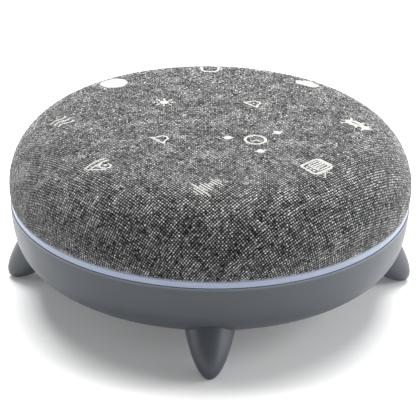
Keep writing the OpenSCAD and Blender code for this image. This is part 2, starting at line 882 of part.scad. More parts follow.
fabric_cover();
dome_shell();
light_ring();
base_housing();
bottom_grille();
leg_front();
leg_right();
leg_back();
leg_left();
foot_pads();
leg_screws();
dome_screws();
touch_film();
touch_electrodes();
touch_controller();
film_connector();
microphones();
sensor_ribbon();
led_board();
leds();
led_wires();
speaker_box();
box_gasket();
box_screws();
speaker_baffle();
driver_gasket();
driver_basket();
driver_screws();
driver_terminal();
top_plate();
magnet();
yoke();
coil_former();
coil_winding();
spider();
cone();
dust_cap();
surround();
foam_sleeve();
radiator_frame();
radiator_surround();
radiator_plate();
radiator_weight();
wire_grommet();
speaker_wires();
main_board();
board_screws();
radio_module();
amplifier();
capacitors();
inductor();
board_connectors();
usb_socket();
usb_tongue();
power_button();
button_switch();
switch_plunger();
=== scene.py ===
"""Looks of the cloth-covered smart speaker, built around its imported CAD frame.

Lengths are in metres, and in millimetres where a name ends in _mm or _MM.
"""

import json
import math

import bmesh
import bpy
import numpy as np
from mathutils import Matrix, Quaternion, Vector


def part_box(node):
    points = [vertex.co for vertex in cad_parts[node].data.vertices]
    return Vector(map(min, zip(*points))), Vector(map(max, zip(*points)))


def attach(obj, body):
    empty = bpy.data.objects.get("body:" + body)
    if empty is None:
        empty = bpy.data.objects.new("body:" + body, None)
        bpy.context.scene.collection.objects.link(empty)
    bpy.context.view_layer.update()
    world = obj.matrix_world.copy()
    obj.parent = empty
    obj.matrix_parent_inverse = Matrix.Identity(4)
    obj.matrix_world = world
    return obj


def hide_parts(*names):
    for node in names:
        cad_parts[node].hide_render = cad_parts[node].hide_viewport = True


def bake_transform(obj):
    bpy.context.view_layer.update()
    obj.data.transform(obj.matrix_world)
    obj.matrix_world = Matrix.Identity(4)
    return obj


MM = 0.001
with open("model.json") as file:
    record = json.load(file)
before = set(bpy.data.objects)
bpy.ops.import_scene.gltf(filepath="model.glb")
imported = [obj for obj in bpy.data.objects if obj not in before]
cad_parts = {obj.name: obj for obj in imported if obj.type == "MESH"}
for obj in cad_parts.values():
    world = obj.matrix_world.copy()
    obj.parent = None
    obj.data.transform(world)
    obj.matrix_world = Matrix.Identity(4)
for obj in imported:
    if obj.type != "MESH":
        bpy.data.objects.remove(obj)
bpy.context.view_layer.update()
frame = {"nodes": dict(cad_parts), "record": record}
SLOT_OF = {s["node"]: s["material_slot"] for s in frame["record"]["subparts"]}

# ---------- camera, floor and lights ----------

LENS_MM = 153.4
SENSOR_MM = 36
AIM = Vector((0, 0, 0.035))
CAMERA_DISTANCE = 0.6742
CAMERA_ELEVATION = math.radians(25.53)
# Tilt away from AIM, roll about the line of sight, and turn about the object, in radians
CAMERA_DIP = math.radians(0.464)
CAMERA_ROLL = 0.014
CAMERA_TURN = -0.009

SKY_COLOUR = (0.98, 0.99, 1, 1)
SKY_STRENGTH = 0.18
FLOOR_HALF_WIDTH = 4
FLOOR_MOTTLE_MM = 120
# Light from the floor itself, which keeps the shadow on it pale
FLOOR_GLOW = 0.10
# Each soft box: name, place, the point it faces, width and height, and power in watts
LIGHTS = [
    ("overhead", (0, 0.38, 0.9), (0, 0.02, 0.03), (1.0, 0.7), 26.5),
    ("left_box", (-0.9, 0.0, 0.35), (0, 0, 0.03), (0.5, 0.6), 2.0),
    ("right_box", (0.9, 0.0, 0.35), (0, 0, 0.03), (0.5, 0.6), 6.6),
    ("low_box", (0.75, -0.45, 0.14), (0, 0, 0.02), (0.25, 0.2), 1.0),
]


def link(name, data):
    """A new object holding data, in the scene."""
    ob = bpy.data.objects.new(name, data)
    bpy.context.scene.collection.objects.link(ob)
    return ob


def make_camera():
    """A long lens, a little above the front."""
    lens = bpy.data.cameras.new("camera")
    lens.lens = LENS_MM
    lens.sensor_width = SENSOR_MM
    lens.clip_start = 0.01
    ob = link("camera", lens)
    back = Vector((0, -math.cos(CAMERA_ELEVATION), math.sin(CAMERA_ELEVATION)))
    turn = Quaternion((0, 0, 1), CAMERA_TURN)
    ob.location = AIM + turn @ back * CAMERA_DISTANCE
    ob.rotation_mode = "QUATERNION"
    ob.rotation_quaternion = (
        turn
        @ (-back).to_track_quat("-Z", "Y")
        @ Quaternion((1, 0, 0), -CAMERA_DIP)
        @ Quaternion((0, 0, 1), CAMERA_ROLL)
    )
    bpy.context.scene.camera = ob


def area_light(name, place, aim, size, power):
    """A rectangular soft box that faces aim."""
    lamp = bpy.data.lights.new(name, "AREA")
    lamp.shape = "RECTANGLE"
    lamp.size, lamp.size_y = size
    lamp.energy = power
    ob = link(name, lamp)
    ob.location = place
    ob.rotation_euler = (Vector(aim) - Vector(place)).to_track_quat("-Z", "Y").to_euler()


def make_studio():
    """Pale sky, pale floor and four soft boxes."""
    world = bpy.data.worlds.new("studio")
    bpy.context.scene.world = world
    world.use_nodes = True
    sky = world.node_tree.nodes["Background"]
    sky.inputs["Color"].default_value = SKY_COLOUR
    sky.inputs["Strength"].default_value = SKY_STRENGTH
    half = FLOOR_HALF_WIDTH
    corners = [(-half, -half, 0), (half, -half, 0), (half, half, 0), (-half, half, 0)]
    mesh = bpy.data.meshes.new("floor")
    mesh.from_pydata(corners, [], [(0, 1, 2, 3)])
    floor = link("floor", mesh)
    look = Look("floor", Roughness=0.9)
    tone = look.noise(look.object_mm(), FLOOR_MOTTLE_MM, 2)
    look.set("Base Color", look.ramp(tone, [(0, (0.86, 0.86, 0.865)), (1, (0.89, 0.89, 0.89))]))
    look.set("Emission Color", (1, 1, 1))
    look.set("Emission Strength", FLOOR_GLOW)
    mesh.materials.append(look.mat)
    for light in LIGHTS:
        area_light(*light)
    bpy.context.scene.view_settings.view_transform = "Standard"


# ---------- materials ----------


class Look:
    """A Principled material under construction.

    A value that is the same everywhere goes on the shader's own socket.
    """

    def __init__(self, name, **fixed):
        self.mat = bpy.data.materials.new(name)
        self.mat.use_nodes = True
        self.tree = self.mat.node_tree
        self.tree.nodes.clear()
        out = self.add("OutputMaterial")
        self.shader = self.add("BsdfPrincipled")
        self.tree.links.new(self.shader.outputs[0], out.inputs["Surface"])
        for key, value in fixed.items():
            self.set(key.replace("_", " "), value)

    def put(self, socket, value):
        if isinstance(value, bpy.types.NodeSocket):
            self.tree.links.new(value, socket)
        elif isinstance(value, tuple) and len(value) == 3 and socket.type == "RGBA":
            socket.default_value = (*value, 1)
        else:
            socket.default_value = value

    def set(self, key, value):
        self.put(self.shader.inputs[key], value)

    def add(self, kind, inputs=None, **settings):
        made = self.tree.nodes.new("ShaderNode" + kind)
        for key, value in settings.items():
            setattr(made, key, value)
        for key, value in (inputs or {}).items():
            self.put(made.inputs[key], value)
        return made

    def calc(self, operation, *values):
        return self.add("Math", dict(enumerate(values)), operation=operation).outputs[0]

    def blend(self, factor, a, b):
        made = self.add("Mix", data_type="FLOAT")
        for key, value in zip((0, 2, 3), (factor, a, b)):
            self.put(made.inputs[key], value)
        return made.outputs[0]

    def tint(self, factor, a, b, way="MIX"):
        made = self.add("Mix", data_type="RGBA", blend_type=way)
        for key, value in zip((0, 6, 7), (factor, a, b)):
            self.put(made.inputs[key], value)
        return made.outputs[2]

    def ramp(self, factor, stops):
        made = self.add("ValToRGB", {0: factor})
        band = made.color_ramp
        while len(band.elements) < len(stops):
            band.elements.new(0.5)
        for element, (place, colour) in zip(band.elements, stops):
            element.position = place
            element.color = (*colour, 1) if isinstance(colour, tuple) else (colour,) * 3 + (1,)
        return made.outputs[0]

    def span(self, value, low, high, to_low=0, to_high=1):
        made = self.add("MapRange", {0: value, 1: low, 2: high, 3: to_low, 4: to_high}, clamp=True)
        return made.outputs[0]

    def object_mm(self):
        place = self.add("TexCoord").outputs["Object"]
        return self.add("VectorMath", {0: place, "Scale": 1 / MM}, operation="SCALE").outputs[0]

    def noise(self, place, size_mm, detail=2, roughness=0.5):
        fed = {"Vector": place, "Scale": 1 / size_mm, "Detail": detail, "Roughness": roughness}
        return self.add("TexNoise", fed).outputs[0]

    def bump(self, height, depth_mm, strength=1):
        fed = {"Height": height, "Distance": depth_mm * MM, "Strength": strength}
        self.set("Normal", self.add("Bump", fed).outputs[0])


PITCH_MM = 0.95


def weave(look):
    """Nodes of a plain weave: the place on it, the tone along each yarn, and the height of the yarn on top.

    The attribute holds the place on the flat weave, and the relief of the surface itself, 0 in the gaps.
    """
    place = look.add("Attribute", attribute_name="cloth_mm").outputs["Vector"]
    parts = look.add("SeparateXYZ", {0: place})
    u, v = (look.calc("DIVIDE", parts.outputs[k], PITCH_MM) for k in (0, 1))
    iu, iv = look.calc("FLOOR", u), look.calc("FLOOR", v)
    fu, fv = (look.calc("ABSOLUTE", look.calc("SUBTRACT", look.calc("FRACT", w), 0.5)) for w in (u, v))
    weft = look.calc("FLOORED_MODULO", look.calc("ADD", iu, iv), 2)
    across, along = look.blend(weft, fu, fv), look.blend(weft, fv, fu)

    def rounded(offset, power, fall):
        """1 at the middle of a yarn, falling towards its sides."""
        return look.calc("SUBTRACT", 1, look.calc("MULTIPLY", look.calc("POWER", offset, power), fall))

    plain = look.calc("MULTIPLY", rounded(across, 2.4, 4.2), rounded(along, 2, 2.2))
    streak = look.calc("MULTIPLY", rounded(fv, 2, 4.0), rounded(fu, 2, 1.0))
    # Patches where one set of yarns stands over the other
    proud = look.span(look.noise(place, 8, 2, 0.6), 0.47, 0.60, 0, 0.85)
    rise = parts.outputs[2]
    height = look.blend(
        proud,
        look.calc("MULTIPLY", plain, look.span(rise, 0, 1.4, 0.3, 1.3)),
        look.calc("MULTIPLY", streak, look.span(rise, 0, 1.4, 0.6, 1.15)),
    )

    def yarn(index, distance, shift):
        """Tone of a yarn by its number: a slow drift along it, and flecks shared with the yarns beside it."""
        tones = []
        for pace, step in ((0.10, 7.31), (0.55, 0.6)):
            across_yarns = look.calc("MULTIPLY", index, step)
            along_yarn = look.calc("MULTIPLY", distance, pace)
            own = look.add("CombineXYZ", {0: across_yarns, 1: along_yarn, 2: shift + step}).outputs[0]
            tones.append(look.add("TexNoise", {"Vector": own, "Scale": 1.0, "Detail": 1}).outputs[0])
        return look.blend(0.55, *tones)

    tone = look.blend(weft, yarn(iu, v, 3), yarn(iv, u, 90))
    crossing = look.add("CombineXYZ", {0: iu, 1: iv}).outputs[0]
    cell = look.add("TexWhiteNoise", {"Vector": crossing}).outputs[0]
    return {"place": place, "height": height, "tone": tone, "cell": cell}


def cloth_look():
    """Grey melange linen: pale and dark yarns, painted shade in the gaps and in scattered pits, loose fibres and a
    soft sheen.
    """
    look = Look("cloth", Roughness=0.92, Sheen_Weight=1.0, Sheen_Roughness=0.3)
    look.set("Specular IOR Level", 0.1)
    w = weave(look)
    tone = look.calc("ADD", w["tone"], look.calc("MULTIPLY", w["cell"], 0.12))
    patch = look.noise(w["place"], 9, 3, 0.6)
    tone = look.calc("ADD", tone, look.calc("MULTIPLY", look.calc("SUBTRACT", patch, 0.5), 0.14))
    tone = look.span(tone, 0.33, 0.76)
    colour = look.ramp(
        tone,
        [
            (0, (0.085, 0.086, 0.091)),
            (0.35, (0.33, 0.331, 0.341)),
            (0.65, (0.66, 0.66, 0.662)),
            (1, (0.92, 0.916, 0.903)),
        ],
    )
    warmth = look.noise(w["place"], 16, 2)
    cast = look.ramp(warmth, [(0.35, (0.97, 0.973, 0.995)), (0.65, (0.98, 0.982, 0.955))])
    colour = look.tint(1, colour, cast, "MULTIPLY")
    # Painted shade: the colour darkens from the yarns' crests down into the gaps between them
    shade = look.calc("POWER", look.span(w["height"], 0.0, 0.90, 0.02, 1), 2.2)
    fibre = look.noise(w["place"], 0.16, 2, 0.7)
    shade = look.calc("MULTIPLY", shade, look.span(fibre, 0.25, 0.75, 0.75, 1.2))
    # Painted shade in scattered dark pits
    pit_shade = look.noise(w["place"], 1.5, 2)
    shade = look.calc("MULTIPLY", shade, look.span(pit_shade, 0.34, 0.48, 0.15, 1.08))
    grey = look.add("CombineColor", {0: shade, 1: shade, 2: shade}).outputs[0]
    look.set("Base Color", look.tint(1, colour, grey, "MULTIPLY"))
    look.set("Roughness", look.span(fibre, 0.2, 0.8, 0.82, 0.98))
    look.bump(look.calc("ADD", w["height"], look.calc("MULTIPLY", fibre, 0.2)), 0.34, 1)
    return look.mat


def ink_look():
    """White screen print over the weave, with painted shade where it dips into the weave's gaps, and rubbed wear."""
    look = Look("print_ink", Roughness=0.95)
    look.set("Specular IOR Level", 0.1)
    w = weave(look)
    rub = look.noise(w["place"], 0.5, 3, 0.7)
    # Painted shade: the ink darkens down into the weave's gaps, and rub adds worn spots
    gap_shade_and_wear = look.calc("ADD", look.span(w["height"], 0.0, 0.6, 0.35, 1), look.span(rub, 0.3, 0.7, -0.15, 0.1))
    stops = [(0.2, (0.15, 0.15, 0.14)), (0.55, (0.37, 0.37, 0.345)), (1, (0.50, 0.50, 0.46))]
    look.set("Base Color", look.ramp(gap_shade_and_wear, stops))
    look.bump(look.calc("ADD", w["height"], rub), 0.05, 0.6)
    return look.mat


def plastic(name, dark, light, grain_mm, roughness=(0.42, 0.55), depth_mm=0.012, rub=None, painted_ring_glow=None, **fixed):
    """Moulded plastic: fine eroded grain and slow change of tone.

    rub is the tone of its worn spots. spill is the ring's light painted into its colour: the least and the greatest
    height of that painted light, and its colour.
    """
    look = Look(name, **fixed)
    place = look.object_mm()
    grain = look.noise(place, grain_mm, 3, 0.6)
    slow = look.noise(place, 18, 3, 0.6)
    colour = look.ramp(slow, [(0.3, dark), (0.7, light)])
    if rub:
        specks = look.noise(place, 1.4, 4, 0.8)
        worn = look.span(specks, 0.66, 0.74)
        colour = look.tint(look.calc("MULTIPLY", worn, 0.25), colour, rub)
    # Painted light: the light ring's glow painted into the colour, strongest near the top edge
    if painted_ring_glow:
        start_mm, end_mm, glow = painted_ring_glow
        rise = look.add("SeparateXYZ", {0: place}).outputs[2]
        colour = look.tint(look.calc("POWER", look.span(rise, start_mm, end_mm), 2), colour, glow)
    fine = look.span(grain, 0.3, 0.7, 0.93, 1.06)
    grey = look.add("CombineColor", {0: fine, 1: fine, 2: fine}).outputs[0]
    look.set("Base Color", look.tint(1, colour, grey, "MULTIPLY"))
    look.set("Roughness", look.span(slow, 0.3, 0.7, *roughness))
    look.bump(grain, depth_mm, 0.7)
    return look.mat


def metal(name, dark, light, roughness=(0.28, 0.45), stretch=(1, 1, 9)):
    """Plated or turned metal with fine brush marks."""
    look = Look(name, Metallic=1.0)
    place = look.add("VectorMath", {0: look.object_mm(), 1: stretch}, operation="MULTIPLY").outputs[0]
    marks = look.noise(place, 0.8, 4, 0.7)
    look.set("Base Color", look.ramp(marks, [(0.3, dark), (0.7, light)]))
    look.set("Roughness", look.span(marks, 0.3, 0.7, *roughness))
    look.bump(marks, 0.01, 0.4)
    return look.mat


def board_look():
    """Printed circuit board: copper traces under green solder mask."""
    look = Look("board", Coat_Weight=0.3, Coat_Roughness=0.2)
    place = look.object_mm()
    cells = look.add("TexVoronoi", {"Vector": place, "Scale": 0.55}, distance="MANHATTAN", feature="F1")
    trace = look.span(look.calc("FRACT", look.calc("MULTIPLY", cells.outputs["Distance"], 3)), 0.42, 0.5)
    dirt = look.noise(place, 6, 3)
    colour = look.tint(trace, (0.012, 0.075, 0.035), (0.03, 0.15, 0.06))
    look.set("Base Color", look.tint(look.span(dirt, 0.3, 0.8, 0, 0.4), colour, (0.01, 0.05, 0.03)))
    look.set("Roughness", look.span(dirt, 0.3, 0.7, 0.3, 0.45))
    look.bump(trace, 0.03, 0.5)
    return look.mat


def fibre_look(name, dark, light, size_mm, roughness=0.9):
    """Pressed fibre, foam or woven carrier: cells and short fibres."""
    look = Look(name, Roughness=roughness)
    place = look.object_mm()
    cells = look.add("TexVoronoi", {"Vector": place, "Scale": 1 / size_mm}).outputs["Distance"]
    tufts = look.noise(place, size_mm * 0.6, 4, 0.7)
    mixed = look.calc("MULTIPLY", cells, tufts)
    look.set("Base Color", look.ramp(mixed, [(0.05, dark), (0.5, light)]))
    look.bump(mixed, 0.12, 0.8)
    return look.mat


def film_look():
    """Amber polyimide film with copper tracks under it."""
    look = Look("film", Coat_Weight=0.4, Coat_Roughness=0.15)
    place = look.object_mm()
    bands = look.add("TexWave", {"Vector": place, "Scale": 0.35, "Distortion": 1.5}, bands_direction="DIAGONAL")
    track = look.span(bands.outputs["Fac"], 0.6, 0.7)
    look.set("Base Color", look.tint(track, (0.42, 0.17, 0.025), (0.62, 0.30, 0.09)))
    look.set("Roughness", look.span(look.noise(place, 4, 3), 0.3, 0.7, 0.25, 0.4))
    look.bump(track, 0.02, 0.5)
    return look.mat


# The light ring's glow, painted into the colour of the base's top edge: its lower end, its upper end and its colour
BASE_TOP_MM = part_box("base_housing")[1].z / MM
PAINTED_RING_GLOW = (BASE_TOP_MM - 1.5, BASE_TOP_MM - 0.1, (0.15, 0.175, 0.215))

# What makes the material of each of the record's slots. The cloth's own slot is on its new piece.
LOOKS = {
    "dome_plastic": lambda n: plastic(n, (0.012, 0.012, 0.013), (0.02, 0.02, 0.022), 0.5),
    "ring_diffuser": lambda n: plastic(
        n, (0.138, 0.162, 0.218), (0.158, 0.184, 0.242), 0.6, (0.28, 0.36), 0.006,
        Subsurface_Weight=0.35, Subsurface_Scale=0.002,
        Emission_Color=(0.62, 0.71, 0.97, 1), Emission_Strength=0.23,
    ),
    "base_plastic": lambda n: plastic(
        n, (0.049, 0.057, 0.067), (0.056, 0.065, 0.077), 0.3, (0.36, 0.46), 0.010,
        rub=(0.16, 0.175, 0.19), painted_ring_glow=PAINTED_RING_GLOW, Specular_IOR_Level=0.38,
    ),
    "leg_plastic": lambda n: plastic(
        n, (0.050, 0.057, 0.071), (0.058, 0.066, 0.082), 0.3, (0.36, 0.46), 0.010, rub=(0.14, 0.15, 0.17)
    ),
    "rubber": lambda n: plastic(n, (0.010, 0.010, 0.011), (0.018, 0.018, 0.019), 0.4, (0.7, 0.85), 0.02),
    "steel": lambda n: metal(n, (0.42, 0.42, 0.43), (0.60, 0.60, 0.61)),
    "film": lambda n: film_look(),
    "copper": lambda n: metal(n, (0.70, 0.34, 0.19), (0.90, 0.48, 0.28), (0.25, 0.4)),
    "chip": lambda n: plastic(n, (0.012, 0.012, 0.013), (0.022, 0.022, 0.023), 0.15, (0.5, 0.62), 0.01),
    "white_plastic": lambda n: plastic(n, (0.70, 0.70, 0.66), (0.80, 0.80, 0.77), 0.4, (0.35, 0.5), 0.008),
    "board": lambda n: board_look(),
    "wire": lambda n: plastic(n, (0.42, 0.02, 0.015), (0.52, 0.03, 0.02), 0.5, (0.4, 0.5), 0.01),
    "foam": lambda n: fibre_look(n, (0.008, 0.008, 0.009), (0.05, 0.05, 0.055), 0.7),
    "ferrite": lambda n: plastic(n, (0.014, 0.014, 0.015), (0.03, 0.03, 0.032), 0.25, (0.55, 0.7), 0.03),
    "paper": lambda n: fibre_look(n, (0.012, 0.012, 0.013), (0.06, 0.06, 0.062), 0.5, 0.8),
    "spider_cloth": lambda n: fibre_look(n, (0.30, 0.20, 0.07), (0.62, 0.46, 0.22), 0.5),
}


def paint_frame():
    """Gives every CAD node the material of its slot."""
    made = {slot: build(slot) for slot, build in LOOKS.items()}
    for name, ob in frame["nodes"].items():
        if SLOT_OF[name] in made:
            ob.data.materials.clear()
            ob.data.materials.append(made[SLOT_OF[name]])


# ---------- cloth ----------

# The dome's shoulder arc and the height of its widest circle, as in part.scad
SHOULDER_MM = 22.5
EQUATOR_MM = 42.5
RELIEF_MM = 0.24
# The relief fades over this much of the cloth before its hem
HEM_FADE_MM = 0.8
# How far each gap and each crest strays from its place in the weave, at most
GAP_STRAY_MM = 0.10
CREST_STRAY_MM = 0.17
# The bend that tucks the hem under, and the hem's width
HEM_BEND_MM = 0.5
HEM_REACH_MM = 6.5
# Each band of the yarns' wandering: the count of its waves, their amplitude in millimetres,
# and the least and greatest wave number in radians per millimetre
WANDERS = ((7, 0.16, 0.05, 0.16), (12, 0.07, 0.35, 1.1))

SEED = 20
rng = np.random.default_rng(SEED)
wander_waves = [
    (
        amplitude / math.sqrt(count),
        rng.uniform(low, high, 2) * rng.choice([-1, 1], 2),
        *rng.uniform(0, 2 * math.pi, 2),
    )
    for count, amplitude, low, high in WANDERS
    for _ in range(count)
]
# The sizes of crests and yarns repeat after this many yarns, more than the cloth has
GRID = 256
crest_size = rng.uniform(0.45, 1.4, (GRID, GRID))
yarn_size = rng.uniform(0.75, 1.2, (2, GRID))


def dome_profile():
    """Arc length from the crown's centre, radius and height of the cloth's surface, in millimetres."""
    low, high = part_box("fabric_cover")
    body, crown, foot = high.x / MM, high.z / MM, low.z / MM
    shoulder_x = body - SHOULDER_MM
    rise = crown - EQUATOR_MM
    crown_r = (shoulder_x**2 + rise**2 - SHOULDER_MM**2) / (2 * (rise - SHOULDER_MM))
    tangent = math.asin(shoulder_x / (crown_r - SHOULDER_MM))
    t = np.linspace(0, tangent, 60)
    r, z = [crown_r * np.sin(t)], [crown - crown_r + crown_r * np.cos(t)]
    bend_z = foot + HEM_BEND_MM
    last = math.pi / 2 + math.asin((EQUATOR_MM - bend_z) / (SHOULDER_MM - HEM_BEND_MM))
    t = np.linspace(tangent, last, 240)[1:]
    r.append(shoulder_x + SHOULDER_MM * np.sin(t))
    z.append(EQUATOR_MM + SHOULDER_MM * np.cos(t))
    bend_x = shoulder_x + (SHOULDER_MM - HEM_BEND_MM) * math.sin(last)
    t = np.linspace(last, math.pi, 20)[1:]
    r.append(bend_x + HEM_BEND_MM * np.sin(t))
    z.append(bend_z + HEM_BEND_MM * np.cos(t))
    t = np.linspace(0, HEM_REACH_MM, 12)[1:]
    r.append(bend_x - t)
    z.append(np.full(len(t), foot))
    r, z = np.concatenate(r), np.concatenate(z)
    s = np.concatenate([[0], np.cumsum(np.hypot(np.diff(r), np.diff(z)))])
    return s, r, z


PROFILE_S, PROFILE_R, PROFILE_Z = dome_profile()
SLOPE_R, SLOPE_Z = np.gradient(PROFILE_R, PROFILE_S), np.gradient(PROFILE_Z, PROFILE_S)
CLOTH_REACH_MM = PROFILE_S[-1]


def relief(u, v):
    """Height of the weave over its gaps, about 1 on a crest. Each crossing is a low pyramid, as its faces are."""
    i, j = np.floor(u / PITCH_MM).astype(int), np.floor(v / PITCH_MM).astype(int)
    edge = np.maximum(np.abs(u / PITCH_MM - i - 0.5), np.abs(v / PITCH_MM - j - 0.5))
    weft = (i + j) % 2
    own = np.where(weft, yarn_size[1][j % GRID], yarn_size[0][i % GRID])
    return crest_size[i % GRID, j % GRID] * own * (1 - 2 * edge)


def lay(u, v, lift=0.0, stray=0.0):
    """Points on the cloth, in metres, from places on its flat weave, lifted or strayed by some millimetres."""
    du, dv = np.zeros((2, len(u))) + np.transpose(stray)
    for amplitude, k, phase_u, phase_v in wander_waves:
        du += amplitude * np.sin(k[0] * u + k[1] * v + phase_u)
        dv += amplitude * np.sin(k[0] * v - k[1] * u + phase_v)
    fu, fv = u + du, v + dv
    x, y = (fu - fv) / math.sqrt(2), (fu + fv) / math.sqrt(2)
    s = np.hypot(x, y)
    turn_x, turn_y = x / np.maximum(s, 1e-9), y / np.maximum(s, 1e-9)
    s = np.minimum(s, CLOTH_REACH_MM)
    r, z = np.interp(s, PROFILE_S, PROFILE_R), np.interp(s, PROFILE_S, PROFILE_Z)
    nr, nz = -np.interp(s, PROFILE_S, SLOPE_Z), np.interp(s, PROFILE_S, SLOPE_R)
    # The hem lies flat on the light ring
    shown = np.clip((CLOTH_REACH_MM - HEM_REACH_MM - s) / HEM_FADE_MM, 0, 1)
    out = RELIEF_MM * (relief(u, v) - 0.5) * shown + lift
    r, z = r + nr * out, z + nz * out
    return np.stack([r * turn_x, r * turn_y, z], 1) * MM


def mesh_object(name, points, faces, material, uv):
    """A smooth-shaded object whose vertices know their place uv on the flat weave."""
    mesh = bpy.data.meshes.new(name)
    mesh.from_pydata(points.tolist(), [], faces)
    mesh.validate()
    mesh.polygons.foreach_set("use_smooth", [True] * len(mesh.polygons))
    spot = mesh.attributes.new("cloth_mm", "FLOAT_VECTOR", "POINT")
    spot.data.foreach_set("vector", np.column_stack([uv, relief(*uv.T)]).astype(np.float32).ravel())
    mesh.materials.append(material)
    return link(name, mesh)


def make_cloth():
    """The woven cover: a square of four faces at each crossing, cut round and laid over the dome."""
    n = int(CLOTH_REACH_MM / PITCH_MM) + 2
    grid = np.arange(-n, n + 1)
    ci, cj = (a.ravel() for a in np.meshgrid(grid, grid, indexing="ij"))
    centre = np.stack([(ci + 0.5) * PITCH_MM, (cj + 0.5) * PITCH_MM], 1)
    kept = np.hypot(*centre.T) < CLOTH_REACH_MM - PITCH_MM / 4
    ci, cj, centre = ci[kept], cj[kept], centre[kept]
    width = 2 * n + 3
    number = lambda i, j: (i + n) * width + j + n
    quads = np.stack([number(ci, cj), number(ci + 1, cj), number(ci + 1, cj + 1), number(ci, cj + 1)], 1)
    used, packed = np.unique(quads, return_inverse=True)
    packed = packed.reshape(-1, 4)
    corners = np.stack([(used // width - n) * PITCH_MM, (used % width - n) * PITCH_MM], 1)
    uv = np.concatenate([corners, centre])
    most = np.concatenate([np.full(len(corners), GAP_STRAY_MM), np.full(len(centre), CREST_STRAY_MM)])
    points = lay(*uv.T, stray=rng.uniform(-1, 1, uv.shape) * most[:, None])
    crest = len(used) + np.arange(len(ci))
    sides = [np.stack([packed[:, k], packed[:, (k + 1) % 4], crest], 1) for k in range(4)]
    faces = np.concatenate(sides)
    cover = mesh_object("woven_cover", points, faces.tolist(), cloth_look(), uv)
    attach(cover, "housing")
    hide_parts("fabric_cover")


# ---------- printed marks ----------

# Half the ink's thickness, the step of the grid that its outlines are cut on, and half a usual stroke's width
INK_MM = 0.08
INK_STEP_MM = 0.17
STROKE_MM = 0.42
# Half the side of the square that holds a mark
MARK_REACH_MM = 8.0


def line(x, y, points, width=STROKE_MM):
    """Signed distance to a polyline with round ends."""
    best = np.full(x.shape, 1e9)
    for (ax, ay), (bx, by) in zip(points, points[1:]):
        dx, dy = bx - ax, by - ay
        t = np.clip(((x - ax) * dx + (y - ay) * dy) / (dx * dx + dy * dy), 0, 1)
        best = np.minimum(best, np.hypot(x - ax - t * dx, y - ay - t * dy))
    return best - width


def disc(x, y, cx, cy, r, flat=1.0):
    """Signed distance to a disc, or nearly so to an ellipse."""
    return np.hypot(x - cx, (y - cy) / flat) - r


def block(x, y, cx, cy, w, h, corner):
    """Signed distance to a rectangle with round corners."""
    dx, dy = np.abs(x - cx) - w / 2 + corner, np.abs(y - cy) - h / 2 + corner
    return np.hypot(np.maximum(dx, 0), np.maximum(dy, 0)) + np.minimum(np.maximum(dx, dy), 0) - corner


def outline(d, width):
    """The stroke along a shape's edge."""
    return np.abs(d) - width


def arc(cx, cy, r, start, end, steps=14):
    """Points of an arc, in degrees."""
    turns = np.radians(np.linspace(start, end, steps))
    return [(cx + r * math.cos(t), cy + r * math.sin(t)) for t in turns]


def mark_sound(x, y):
    """Bars of a sound level."""
    heights = (2.0, 4.4, 9.2, 3.6, 5.6, 3.8, 1.8, 3.2, 6.0, 2.0)
    gap = 1.22
    start = -gap * (len(heights) - 1) / 2
    bars = [(start + k * gap, h / 2) for k, h in enumerate(heights)]
    return np.minimum.reduce([line(x, y, [(bx, -half), (bx, half)], 0.28) for bx, half in bars])


def mark_set(x, y):
    """Old television with a screen, a panel of knobs and an aerial."""
    body = outline(block(x, y, 0, 0, 9.4, 7.4, 1.5), 0.46)
    screen = outline(block(x, y, -1.1, 0, 5.6, 5.0, 0.8), 0.32)
    rows = [line(x, y, [(-3.2, h), (1.0, h)], 0.27) for h in (-1.2, 0, 1.2)]
    knobs = [disc(x, y, 3.2, h, 0.48) for h in (-1.7, 0, 1.7)]
    aerial = line(x, y, [(2.5, 6.6), (0.2, 4.2), (-1.3, 6.0)], 0.26)
    return np.minimum.reduce([body, screen, aerial, *rows, *knobs])


def mark_insect(x, y):
    """Winged insect with a slit along its back."""
    body = np.maximum(disc(x, y, -0.9, 0, 4.0, 0.52), -line(x, y, [(-2.4, 0.4), (1.2, -0.1)], 0.32))
    head = disc(x, y, 3.8, -0.1, 1.6)
    hind = [line(x, y, [(-3.2, side), (-4.6, side * 3.2)], 0.42) for side in (-1, 1)]
    fore = [line(x, y, [(k, side), (k + 0.7, side * 2.9)], 0.42) for k in (0.6, 3.6) for side in (-1, 1)]
    ends = [line(x, y, [(4.8, 0.6), (6.0, 1.4)], 0.34), line(x, y, [(-4.6, 0), (-6.0, -0.9)], 0.34)]
    return np.minimum.reduce([body, head, *hind, *fore, *ends])


def mark_cloud(x, y):
    """Cloud of three lumps on a flat foot."""
    lumps = [disc(x, y, -2.9, 0, 1.9), disc(x, y, -0.4, 1.3, 2.6), disc(x, y, 2.8, 0.3, 2.1)]
    return np.minimum.reduce([*lumps, block(x, y, 0, -1.1, 8.4, 2.0, 0.9)])


def mark_cup(x, y):
    """Outline of a cup and its handle."""
    bowl = line(x, y, [(-3.6, 2.6), (-3.1, -1.6), (-1.9, -2.7), (1.9, -2.7), (3.1, -1.6), (3.6, 2.6)], 0.5)
    return np.minimum(bowl, line(x, y, arc(3.7, 0.6, 1.1, 90, -80), 0.3))


def mark_moon(x, y):
    """Full moon."""
    return disc(x, y, 0, 0, 5.4, 0.96)


def mark_wind(x, y):
    """Three wavy lines."""
    wave = lambda h: [(k, h - 0.5 * math.sin(k * 0.9)) for k in np.linspace(-3.9, 3.7, 16)]
    return np.minimum.reduce([line(x, y, wave(h), 0.33) for h in (2.35, 0, -2.35)])


